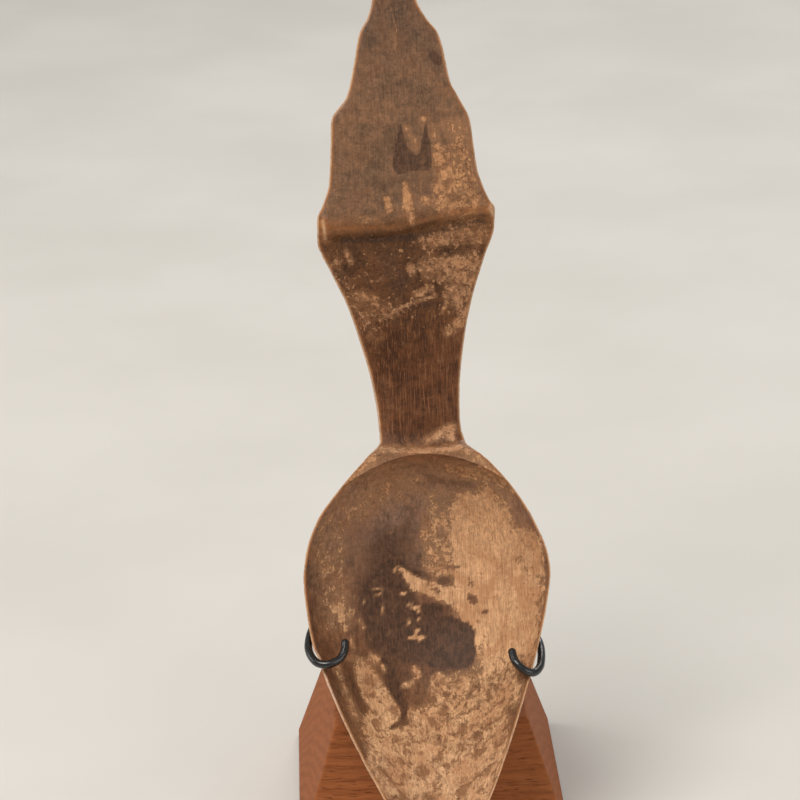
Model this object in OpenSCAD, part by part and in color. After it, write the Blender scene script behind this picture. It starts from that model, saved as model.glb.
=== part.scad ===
// Carved spoon with a stepped handle, standing in two wire hooks on a tapered wooden plinth.
// +Z is up and the bowl opens toward -Y. The origin is the centre of the plinth's underside.

/* [Plinth] */
// Width of the plinth across its foot
plinth_w = 63.5; // [50:0.5:80]
// Width of the plinth across its top face
plinth_top_w = 44.8; // [36:0.2:50]
// Height of the wooden plinth
plinth_h = 29; // [24:0.5:40]
// Thickness of the felt under the plinth
felt_h = 1; // [0.5:0.25:2]
// How far the felt stays inside the plinth's foot
felt_inset = 1.5; // [0.5:0.5:4]

/* [Mount] */
// Diameter of the upright brass stem
stem_d = 4; // [3:0.5:5]
// Distance of the stem behind the plinth's centre
stem_y = 8; // [6:0.5:12]
// Radial gap between the stem and its socket
stem_gap = 0.04; // [0.02:0.01:0.08]
// Wall of the brass socket tube
socket_wall = 1; // [0.8:0.1:1.5]
// Depth of the socket tube in the plinth
socket_h = 20; // [14:1:22]
// Height of the hub's middle above the underside
hub_z = 47; // [44:1:52]
// Diameter of the brass wire in the hooks
wire_d = 1.2; // [1:0.1:1.4]
// Outside diameter of the black sleeve on each hook
sleeve_d = 1.86; // [1.7:0.02:2.2]
// Diameter of the padded rest behind the bowl
rest_d = 8; // [6:0.5:10]

/* [Spoon] */
// Angle that the spoon leans back
lean = 21; // [18:0.5:24]
// Height of the hooks above the plinth's top face
hold_h = 18; // [16:0.5:22]
// Distance of the hooks in front of the plinth's centre
hold_y = 22.5; // [20:0.5:26]
// Height at which the bowl starts to curve forward
curve_start = 13; // [10:0.5:16]
// How sharply the lower bowl curves forward, per millimetre
curve_rate = 0.016; // [0.01:0.001:0.018]
// Height at which the hollow of the bowl starts
hollow_top = 45.2; // [44.5:0.1:45.6]
// Width of the bowl's rim
rim_w = 0.8; // [0.6:0.1:1.2]

/* [Hidden] */
$fn = 64;

plinth_top = felt_h + plinth_h;
socket_r = stem_d / 2 + stem_gap + socket_wall;
// Gap between the stem's foot and the bottom of its bore
foot_gap = 0.1;
stem_foot = plinth_top - socket_h + foot_gap;
wire_sides = 12;
// Gaps between the sleeve and its wire, and between the bowl and its rest
sleeve_gap = 0.03;
spoon_gap = 0.3;
overlap = 0.6;
// Ends of the spoon's outline, measured from the hooks along its lean
handle_top = 163;
bowl_tip = -38;

// The spoon's own frame: x across, up along its lean, out toward the open side of the bowl.
function place(x, up, out) = [
    x,
    -hold_y + up * sin(lean) - out * cos(lean),
    plinth_top + hold_h + up * cos(lean) + out * sin(lean)
];

function unit(v) = v / norm(v);
function mixed(a, b, t) = a + (b - a) * t;
function eased(up, table, reach = 1) =
    (lookup(up - reach, table) + 2 * lookup(up, table) + lookup(up + reach, table)) / 4;

// ---- Spoon: outline and side profile, each as [height above the hooks, value] in millimetres.
left_edge = [
    [-38, -1.2], [-37, -5.2], [-34, -9.4], [-30, -12], [-16, -19.5], [-6, -23.8], [0, -25.7],
    [2, -26.7], [9, -27.8], [17, -28.4], [24, -27.4], [31, -24.6], [38, -19.3], [45, -12.8],
    [48.5, -9.5], [54, -9.7], [62, -10.8], [73, -13.6], [80, -15.8], [87.5, -19.1], [95, -22.1],
    [100, -22], [103, -20.7], [108, -19], [117, -18.2], [122.5, -17.8], [128, -14.1],
    [135, -12.2], [142.5, -10.6], [146, -8.6], [150, -7.4], [158, -6.8], [161, -5.8], [163, -4]
];
right_edge = [
    [-38, 0.4], [-37, 4], [-34, 8], [-30, 11.2], [-17.5, 17.8], [-8, 21.9], [0, 24.9],
    [10, 27.6], [17.5, 28.7], [21.5, 28.2], [29, 25.4], [36.5, 21.1], [44, 14.8], [47.8, 10.5],
    [53, 9.6], [60, 9.8], [68, 10.7], [79, 12.9], [90, 16.4], [97, 18.9], [101, 19.1],
    [103, 17.9], [106.5, 16.5], [110, 15.4], [121.5, 14.2], [127, 11.8], [131, 10],
    [138, 8.7], [142, 7.6], [145.5, 5], [150, 3], [158, 2.4], [161, 1.3], [163, -0.6]
];
front_profile = [
    [-38, 0], [45.8, 0], [47.4, -3.6], [51, -4.6], [60, -4.6], [80, -2.4], [91, 0],
    [94.6, 1], [96, 2.8], [98, 3.3], [103, 2.5], [122, 1.7], [150, 0.2], [163, -0.6]
];
back_profile = [
    [-38, -1.3], [-36, -3.2], [-30, -6.2], [-24, -8.2], [-16, -10.4], [-8, -12.4], [0, -14.4],
    [8, -15.8], [16, -16.2], [26, -15.8], [34, -14.5], [40, -13.2], [46, -12.2], [52, -12],
    [60, -11.4], [80, -8.6], [95, -4.2], [105, -2.7], [125, -2.6], [150, -3.1], [163, -2.9]
];
// Level of the outer edge between the front and the back
edge_profile = [
    [-38, -0.6], [44.5, -0.6], [48, -7], [52, -8.3], [60, -8], [80, -5.5], [97, -0.5],
    [105, -0.1], [125, -0.5], [150, -1.4], [163, -1.8]
];
hollow_depth = [
    [-38, 0], [-37, 0.7], [-34, 2.4], [-30, 4], [-24, 5.9], [-16, 8], [-8, 10], [0, 11.9],
    [8, 13.1], [16, 13.5], [26, 13], [34, 11.2], [40, 8.2], [43, 5.2], [44.6, 2.4], [45.2, 0]
];
// How square the handle's corners are, and how round the back of the bowl is
front_square = [[40, 12], [48, 5], [60, 4], [90, 5], [110, 8]];
back_square = [[42, 2.2], [50, 3], [90, 4], [110, 7]];
back_power = [[42, 0.72], [50, 0.34], [90, 0.25], [110, 0.15]];
// How the cross ridge rises from left to right, and how far up and down the handle that reaches
ridge_rise = [[-22, 0.4], [-9, 0.2], [-3, 0.8], [2, 2.1], [9, 3.5], [18, 3.9]];
ridge_reach = [[60, 0], [85, 1], [108, 1], [125, 0]];
// The hollow: how fast it opens below its top, how flat its floor is and how steep its sides are
hollow_opening = 7.2;
hollow_floor = 2.2;
hollow_sides = 0.85;
// How far each profile is smoothed, up and down
ridge_blend = 2;
front_blend = 0.6;
back_blend = 2;

ring_heights = [
    for (u = [bowl_tip, -37.7, -37.2, -36.5, -35.5, -34.2, -32.4, -30.2]) u,
    for (u = [-28:2.2:39]) u,
    for (u = [41, 42.4, 43.6, 44.4, 45, 45.5, 46.2, 47, 47.9, 49]) u,
    for (u = [51:3.2:90]) u,
    for (u = [91.5:1.15:104]) u,
    for (u = [106.5:2.6:160]) u,
    for (u = [160.5, 161.8, 162.6, handle_top]) u
];
front_points = 22;
back_points = 14;
// Share of the points' span that lies in the hollow, and of the width where there is no hollow
rim_share = 0.76;
solid_share = 0.8;

function curl(up) = up < curve_start ? curve_rate * pow(curve_start - up, 2) : 0;
function curl_angle(up) = up < curve_start ? atan(2 * curve_rate * (curve_start - up)) : 0;
function left_at(up) = eased(up, left_edge);
function right_at(up) = eased(up, right_edge);
function middle_at(up) = (left_at(up) + right_at(up)) / 2;
function half_at(up) = (right_at(up) - left_at(up)) / 2;
function hollow_half(up) =
    up >= hollow_top
        ? 0
        : min(max(0, half_at(up) - rim_w), hollow_opening * sqrt(hollow_top - up));

// Rounded corner: 1 in the middle of the width, falling to 0 at its edge
function rounded(share, square, power) = pow(max(0, 1 - pow(abs(share), square)), power);

function front_at(up, x) =
    let (
        share = (x - middle_at(up)) / half_at(up),
        slanted = up - lookup(up, ridge_reach) * eased(x, ridge_rise, ridge_blend),
        square = lookup(up, front_square),
        edge = eased(up, edge_profile),
        inner = hollow_half(up),
        across = inner > 0 ? (x - middle_at(up)) / inner : 2,
        bowl = max(0, 1 - pow(abs(across), hollow_floor)),
        hollow = lookup(up, hollow_depth) * pow(bowl, hollow_sides),
        middle = eased(slanted, front_profile, front_blend)
    )
    mixed(edge, middle, rounded(share, square, 1 / square)) - hollow;

function back_at(up, x) =
    let (
        share = (x - middle_at(up)) / half_at(up),
        edge = eased(up, edge_profile),
        roundness = rounded(share, lookup(up, back_square), lookup(up, back_power))
    )
    mixed(edge, eased(up, back_profile, back_blend), roundness);

// Spreads points over the width: most in the hollow, the rest on its rim
function spread(t, inner_share) =
    abs(t) <= rim_share
        ? inner_share * sin(90 * t / rim_share)
        : sign(t) * mixed(inner_share, 1, sin(90 * (abs(t) - rim_share) / (1 - rim_share)));

function spoon_point(up, x, out) =
    let (turn = curl_angle(up))
    place(x, up + out * sin(turn), curl(up) + out * cos(turn));

function spoon_ring(up) =
    let (
        inner_share = hollow_half(up) > 0 ? hollow_half(up) / half_at(up) : solid_share,
        front_shares = [for (i = [0:front_points]) spread(2 * i / front_points - 1, inner_share)],
        back_shares = [for (i = [1:back_points - 1]) cos(180 * i / back_points)],
        front_xs = [for (share = front_shares) middle_at(up) + half_at(up) * share],
        back_xs = [for (share = back_shares) middle_at(up) + half_at(up) * share]
    )
    [
        for (x = front_xs) spoon_point(up, x, front_at(up, x)),
        for (x = back_xs) spoon_point(up, x, back_at(up, x))
    ];

// Closed skin over a row of rings that all have the same number of points
module skin(rings) {
    count = len(rings[0]);
    last = len(rings) - 1;
    walls = [
        for (i = [0:last - 1], k = [0:count - 1])
            let (a = i * count + k, b = i * count + (k + 1) % count)
            each [[a, b + count, b], [a, a + count, b + count]]
    ];
    first_cap = [for (k = [0:count - 1]) k];
    last_cap = [for (k = [count - 1:-1:0]) last * count + k];
    polyhedron(points = [for (r = rings) each r], faces = concat([first_cap], walls, [last_cap]));
}

// ---- Wires: a smooth curve through hand-set points, carried along without twist.
function curve_point(p, i, t) =
    let (
        a = p[max(0, i - 1)],
        b = p[i],
        c = p[i + 1],
        d = p[min(len(p) - 1, i + 2)]
    )
    b + (c - a) * t / 2 + (2 * a - 5 * b + 4 * c - d) * t * t / 2 + (3 * b - a - 3 * c + d) * t * t * t / 2;
function curve(p, steps) = [
    for (i = [0:len(p) - 2], s = [0:steps - 1]) curve_point(p, i, s / steps),
    p[len(p) - 1]
];
function headings(path) = [
    for (i = [0:len(path) - 1]) unit(path[min(len(path) - 1, i + 1)] - path[max(0, i - 1)])
];
function upright(side, heading) = unit(side - (side * heading) * heading);
function sides_along(heads) = [
    for (i = 0, side = upright([0, 0, 1], heads[0]); i < len(heads);
        i = i + 1, side = i < len(heads) ? upright(side, heads[i]) : side) side
];
function wire_ring(centre, heading, side, radius) =
    let (other = cross(heading, side))
    [
        for (k = [0:wire_sides - 1])
            let (turn = 360 * k / wire_sides)
            centre + radius * (cos(turn) * side + sin(turn) * other)
    ];
// Rings of one wire, with a round nose at its far end
function wire_rings(path, radius) =
    let (heads = headings(path), sides = sides_along(heads), last = len(path) - 1)
    [
        for (i = [0:last]) wire_ring(path[i], heads[i], sides[i], radius),
        for (turn = [30, 60, 82])
            let (nose = path[last] + radius * sin(turn) * heads[last])
            wire_ring(nose, heads[last], sides[last], radius * cos(turn))
    ];
function reversed(list) = [for (i = [len(list) - 1:-1:0]) list[i]];
function part_of(list, first) = [for (i = [first:len(list) - 1]) list[i]];

// The hub stands on the stem, and each arm leaves its side at the same height.
hub_wall = 1.6;
hub_r = stem_d / 2 + hub_wall;
hub_h = 7;
curve_steps = 4;

// Hook routes: out of the hub, behind the bowl, under its rim and up in front of it.
function arm_start(side) = [
    [side * (hub_r - overlap), stem_y, hub_z],
    [side * 9, stem_y - 1.2, hub_z + 0.4]
];
left_route = concat(arm_start(-1), [
    place(-19.5, 6, -18),
    place(-24.2, 6.8, -11.5),
    place(-26.4, 6, -6.6),
    place(-27.1, 5, -3.2),
    place(-27.6, 3.3, -1.2),
    place(-27.7, 1.7, 0.9),
    place(-27.1, 0.1, 3),
    place(-25.8, -1.2, 4.9),
    place(-23.8, -1.6, 5.8),
    place(-22, -1.2, 5.6),
    place(-20.4, -0.3, 4.8),
    place(-19.5, 1.3, 3.8),
    place(-19.3, 2.9, 2.7)
]);
right_route = concat(arm_start(1), [
    place(17.5, 3.5, -18),
    place(22.6, 3.8, -11.5),
    place(24.6, 2.4, -6.4),
    place(25.4, 1, -3.2),
    place(25.7, -0.7, -0.9),
    place(25.5, -2.6, 1.8),
    place(24.9, -4.3, 4.2),
    place(23.4, -5.3, 6.3),
    place(21.4, -4.8, 7.2),
    place(19.8, -3.4, 6.8),
    place(19, -2.1, 5.7),
    place(18.7, -0.6, 4.4)
]);
left_path = curve(left_route, curve_steps);
right_path = curve(right_route, curve_steps);
// The sleeve covers a hook from behind the bowl to its tip.
sleeve_start = 3 * curve_steps;

// The rest reaches forward from the stem's top and meets the back of the bowl squarely.
rest_up = 20;
rest_out = back_at(rest_up, 0) - spoon_gap;
pad_h = 1.5;
plate_h = 1;
rest_rod_d = 2;
// How far the stem goes on above the rest's rod
stem_end = 1.6;
rest_reach = (stem_y + hold_y - rest_up * sin(lean)) / cos(lean) + rest_out;
rod_meets_stem = rest_up * cos(lean) + (rest_out - rest_reach) * sin(lean);
stem_top = plinth_top + hold_h + rod_meets_stem + stem_end;

// Draws along the line that runs back from the bowl, starting at the rest's face
module behind_bowl(from) {
    translate(place(0, rest_up, rest_out - from)) rotate([-90 - lean, 0, 0]) children();
}

module frustum(foot, top, h) {
    shape = [[-foot / 2, 0], [foot / 2, 0], [top / 2, h], [-top / 2, h]];
    intersection() {
        rotate([90, 0, 0]) linear_extrude(foot + 1, center = true) polygon(shape);
        rotate([90, 0, 90]) linear_extrude(foot + 1, center = true) polygon(shape);
    }
}

module plinth() {
    color("sienna") difference() {
        translate([0, 0, felt_h]) frustum(plinth_w, plinth_top_w, plinth_h);
        translate([0, stem_y, plinth_top - socket_h]) cylinder(h = socket_h + 1, r = socket_r);
    }
}

module base_felt() {
    felt_w = plinth_w - 2 * felt_inset;
    color("black") translate([-felt_w / 2, -felt_w / 2, 0]) cube([felt_w, felt_w, felt_h]);
}

module stem_socket() {
    color("goldenrod") translate([0, stem_y, plinth_top - socket_h]) difference() {
        cylinder(h = socket_h, r = socket_r);
        translate([0, 0, -1]) cylinder(h = socket_h + 2, r = stem_d / 2 + stem_gap);
    }
}

module stem() {
    color("goldenrod") translate([0, stem_y, stem_foot]) cylinder(h = stem_top - stem_foot, d = stem_d);
}

module arm_hub() {
    color("goldenrod") translate([0, stem_y, hub_z - hub_h / 2]) difference() {
        cylinder(h = hub_h, r = hub_r);
        translate([0, 0, -1]) cylinder(h = hub_h + 2, d = stem_d);
    }
}

module hook(path) {
    color("goldenrod") skin(wire_rings(path, wire_d / 2));
}

// A tube with a closed round end: its bore from the tip back, then its outside to the tip
module sleeve(path) {
    covered = part_of(path, sleeve_start);
    bore = wire_rings(covered, wire_d / 2 + sleeve_gap);
    color("black") skin(concat(reversed(bore), wire_rings(covered, sleeve_d / 2)));
}

module left_hook() { hook(left_path); }
module right_hook() { hook(right_path); }
module left_sleeve() { sleeve(left_path); }
module right_sleeve() { sleeve(right_path); }

module rest_arm() {
    color("goldenrod") union() {
        behind_bowl(pad_h) cylinder(h = plate_h, d = rest_d);
        behind_bowl(pad_h + overlap) cylinder(h = rest_reach - pad_h - overlap, d = rest_rod_d);
    }
}

module rest_pad() {
    color("black") behind_bowl(0) cylinder(h = pad_h, d = rest_d);
}

module spoon() {
    color("tan") skin([for (up = ring_heights) spoon_ring(up)]);
}

plinth();
base_felt();
stem_socket();
stem();
arm_hub();
left_hook();
right_hook();
left_sleeve();
right_sleeve();
rest_arm();
rest_pad();
spoon();
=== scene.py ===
"""A carved antler spoon, held by two wire hooks over a tapered wooden plinth.

The stand's sizes and the spoon's outline repeat those of the CAD part, in millimetres.
The spoon's own frame is x across, up along its lean, and out toward the bowl's open side.
"""
import math

import bmesh
import bpy
import numpy as np
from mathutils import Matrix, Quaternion, Vector, noise


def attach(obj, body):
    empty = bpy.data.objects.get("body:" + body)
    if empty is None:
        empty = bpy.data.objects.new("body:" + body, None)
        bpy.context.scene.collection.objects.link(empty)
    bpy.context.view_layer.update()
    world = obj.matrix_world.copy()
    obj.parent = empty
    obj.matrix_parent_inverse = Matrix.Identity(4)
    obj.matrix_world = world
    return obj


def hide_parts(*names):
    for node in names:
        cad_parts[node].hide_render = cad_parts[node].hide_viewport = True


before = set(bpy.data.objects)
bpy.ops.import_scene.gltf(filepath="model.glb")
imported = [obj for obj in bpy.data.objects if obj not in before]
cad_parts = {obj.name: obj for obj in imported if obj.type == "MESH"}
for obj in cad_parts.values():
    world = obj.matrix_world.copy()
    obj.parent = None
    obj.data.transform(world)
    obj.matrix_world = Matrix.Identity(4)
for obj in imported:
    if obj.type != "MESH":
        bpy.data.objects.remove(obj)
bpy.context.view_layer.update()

MM = 0.001

# ---- Sizes shared with the CAD part
# Plinth and its felt
PLINTH_W = 63.5
PLINTH_TOP_W = 44.8
PLINTH_H = 29
FELT_H = 1
FELT_INSET = 1.5
PLINTH_TOP = FELT_H + PLINTH_H
# Stem, its socket and the hub on it
STEM_R = 2
STEM_Y = 8
STEM_END = 1.6
STEM_GAP = 0.04
FOOT_GAP = 0.1
SOCKET_WALL = 1
BORE_R = STEM_R + STEM_GAP
SOCKET_R = BORE_R + SOCKET_WALL
SOCKET_H = 20
HUB_Z = 47
HUB_H = 7
HUB_WALL = 1.6
HUB_R = STEM_R + HUB_WALL
# Hooks and their sleeves
WIRE_R = 0.6
SLEEVE_R = 0.93
SLEEVE_GAP = 0.03
OVERLAP = 0.6
# Padded rest behind the bowl
REST_R = 4
REST_UP = 20
PAD_H = 1.5
PLATE_H = 1
ROD_R = 1
SPOON_GAP = 0.3
# Spoon
LEAN = math.radians(21)
HOLD_H = 18
HOLD_Y = 22.5
HANDLE_TOP = 163
BOWL_TIP = -38
CURVE_START = 13
CURVE_RATE = 0.016
HOLLOW_TOP = 45.2
HOLLOW_OPENING = 7.2
HOLLOW_FLOOR = 2.2
HOLLOW_SIDES = 0.85
RIM_W = 0.8


def place(x, up, out):
    """A point of the spoon's own frame, as a point of the stand's frame."""
    y = -HOLD_Y + up * math.sin(LEAN) - out * math.cos(LEAN)
    z = PLINTH_TOP + HOLD_H + up * math.cos(LEAN) + out * math.sin(LEAN)
    return np.array([x, y, z])


def unit(v):
    return v / np.linalg.norm(v)


def mixed(a, b, share):
    return a + (b - a) * share


def on_circle(radius, angle):
    return radius * np.array([math.cos(angle), math.sin(angle)])


def smooth_step(low, high, value):
    share = np.clip((value - low) / (high - low), 0, 1)
    return share * share * (3 - 2 * share)


class Curve:
    """A smooth line through given points that never swings past them."""

    def __init__(self, *points):
        self.at = np.array([p[0] for p in points], float)
        self.value = np.array([p[1] for p in points], float)
        self.gap = np.diff(self.at)
        rise = np.diff(self.value, axis=0)
        gap = self.gap if rise.ndim == 1 else self.gap[:, None]
        slope = rise / gap
        steady = slope[:-1] * slope[1:] > 0
        total = np.where(steady, slope[:-1] + slope[1:], 1)
        inner = np.where(steady, 2 * slope[:-1] * slope[1:] / total, 0)
        self.slope = np.concatenate([slope[:1], inner, slope[-1:]])

    def __call__(self, where):
        where = np.clip(np.asarray(where, float), self.at[0], self.at[-1])
        i = np.clip(np.searchsorted(self.at, where, side="right") - 1, 0, len(self.gap) - 1)
        gap = self.gap[i]
        t = (where - self.at[i]) / gap
        if self.value.ndim > 1:
            t = t[..., None]
            gap = gap[..., None]
        start = self.value[i] * (1 + 2 * t) * (1 - t) ** 2 + self.slope[i] * gap * t * (1 - t) ** 2
        end = self.value[i + 1] * t * t * (3 - 2 * t) + self.slope[i + 1] * gap * t * t * (t - 1)
        return start + end


# ---- Camera: in front of the spoon and a little to its left, looking down on it
CAMERA_AT = Vector((-22, -604.6, 331)) * MM
CAMERA_AIM = Vector((-3.4, 35.7, 87.8)) * MM
CAMERA_ROLL = math.radians(-1.67)
CAMERA_LENS = 126.4
camera_data = bpy.data.cameras.new("Camera")
camera_data.lens = CAMERA_LENS
camera_data.sensor_width = 36
camera_data.clip_end = 20
camera = bpy.data.objects.new("Camera", camera_data)
camera.rotation_mode = "QUATERNION"
camera.location = CAMERA_AT
straight = (CAMERA_AIM - CAMERA_AT).to_track_quat("-Z", "Y")
camera.rotation_quaternion = straight @ Quaternion((0, 0, 1), CAMERA_ROLL)
bpy.context.scene.collection.objects.link(camera)
bpy.context.scene.camera = camera

# ---- Spoon outline and profiles, each as (height above the hooks, value)
left_edge = Curve(
    (-38, -1.2), (-37, -5.2), (-34, -9.4), (-30, -12), (-16, -19.5), (-6, -23.8), (0, -25.7),
    (2, -26.7), (9, -27.8), (17, -28.4), (24, -27.4), (31, -24.6), (38, -19.3), (45, -12.8),
    (48.5, -9.5), (54, -9.7), (62, -10.8), (73, -13.6), (80, -15.8), (87.5, -19.1), (95, -22.1),
    (100, -22), (103, -20.7), (108, -19), (117, -18.2), (122.5, -17.8), (128, -14.1),
    (135, -12.2), (142.5, -10.6), (146, -8.6), (150, -7.4), (158, -6.8), (161, -5.8), (163, -4),
)
right_edge = Curve(
    (-38, 0.4), (-37, 4), (-34, 8), (-30, 11.2), (-17.5, 17.8), (-8, 21.9), (0, 24.9),
    (10, 27.6), (17.5, 28.7), (21.5, 28.2), (29, 25.4), (36.5, 21.1), (44, 14.8), (47.8, 10.5),
    (53, 9.6), (60, 9.8), (68, 10.7), (79, 12.9), (90, 16.4), (97, 18.9), (101, 19.1),
    (103, 17.9), (106.5, 16.5), (110, 15.4), (121.5, 14.2), (127, 11.8), (131, 10),
    (138, 8.7), (142, 7.6), (145.5, 5), (150, 3), (158, 2.4), (161, 1.3), (163, -0.6),
)
front_profile = Curve(
    (-38, 0), (45.6, 0), (47.4, -3.6), (51, -4.6), (60, -4.6), (80, -2.4), (91, 0),
    (94.6, 1), (96, 2.8), (98, 3.3), (103, 2.5), (122, 1.7), (150, 0.2), (163, -0.6),
)
back_profile = Curve(
    (-38, -1.3), (-36, -3.2), (-30, -6.2), (-24, -8.2), (-16, -10.4), (-8, -12.4), (0, -14.4),
    (8, -15.8), (16, -16.2), (26, -15.8), (34, -14.5), (40, -13.2), (46, -12.2), (52, -12),
    (60, -11.4), (80, -8.6), (95, -4.2), (105, -2.7), (125, -2.6), (150, -3.1), (163, -2.9),
)
edge_profile = Curve(
    (-38, -0.6), (44.5, -0.6), (48, -7), (52, -8.3), (60, -8), (80, -5.5), (97, -0.5),
    (105, -0.1), (125, -0.5), (150, -1.4), (163, -1.8),
)
hollow_depth = Curve(
    (-38, 0), (-37, 0.7), (-34, 2.4), (-30, 4), (-24, 5.9), (-16, 8), (-8, 10), (0, 11.9),
    (8, 13.1), (16, 13.5), (26, 13), (34, 11.2), (40, 8.2), (43, 5.2), (44.6, 2.4), (45.2, 0),
)
front_square = Curve((40, 12), (48, 5), (60, 4), (90, 5), (110, 8))
back_square = Curve((42, 2.2), (50, 3), (90, 4), (110, 7))
back_power = Curve((42, 0.72), (50, 0.34), (90, 0.25), (110, 0.15))
# How the cross ridge rises from left to right, and how far up and down the handle that reaches
ridge_rise = Curve((-22, 0.4), (-9, 0.2), (-3, 0.8), (2, 2.1), (9, 3.5), (18, 3.9))
ridge_reach = Curve((60, 0), (85, 1), (108, 1), (125, 0))
# How far the ledge over the bowl rises toward its two ends
ledge_bow = Curve((42, 0), (44.5, 0.9), (50, 0.9), (56, 0))
# How far from the middle the ledge reaches that rise
LEDGE_HALF = 10


def middle_at(up):
    return (left_edge(up) + right_edge(up)) / 2


def half_at(up):
    return (right_edge(up) - left_edge(up)) / 2


def hollow_half(up):
    """Half of the hollow's width: an arc at its top, and inside the rim below that."""
    arc = HOLLOW_OPENING * np.sqrt(np.maximum(0, HOLLOW_TOP - up))
    return np.minimum(np.maximum(0, half_at(up) - RIM_W), arc)


def rounded(share, square, power):
    """1 in the middle of the width, falling to 0 at its edge."""
    return np.maximum(0, 1 - np.abs(share) ** square) ** power


def front_at(up, x):
    """How far out the spoon's front is."""
    share = np.clip((x - middle_at(up)) / half_at(up), -1, 1)
    square = front_square(up)
    slanted = up - ridge_reach(up) * ridge_rise(x) - ledge_bow(up) * np.minimum(1, (x / LEDGE_HALF) ** 2)
    inner = hollow_half(up)
    across = np.clip(np.abs(x - middle_at(up)) / np.maximum(inner, 0.001), 0, 1)
    hollow = hollow_depth(up) * (1 - across**HOLLOW_FLOOR) ** HOLLOW_SIDES
    return mixed(edge_profile(up), front_profile(slanted), rounded(share, square, 1 / square)) - hollow


def back_at(up, x):
    """How far out the spoon's back is."""
    share = np.clip((x - middle_at(up)) / half_at(up), -1, 1)
    return mixed(edge_profile(up), back_profile(up), rounded(share, back_square(up), back_power(up)))
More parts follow.
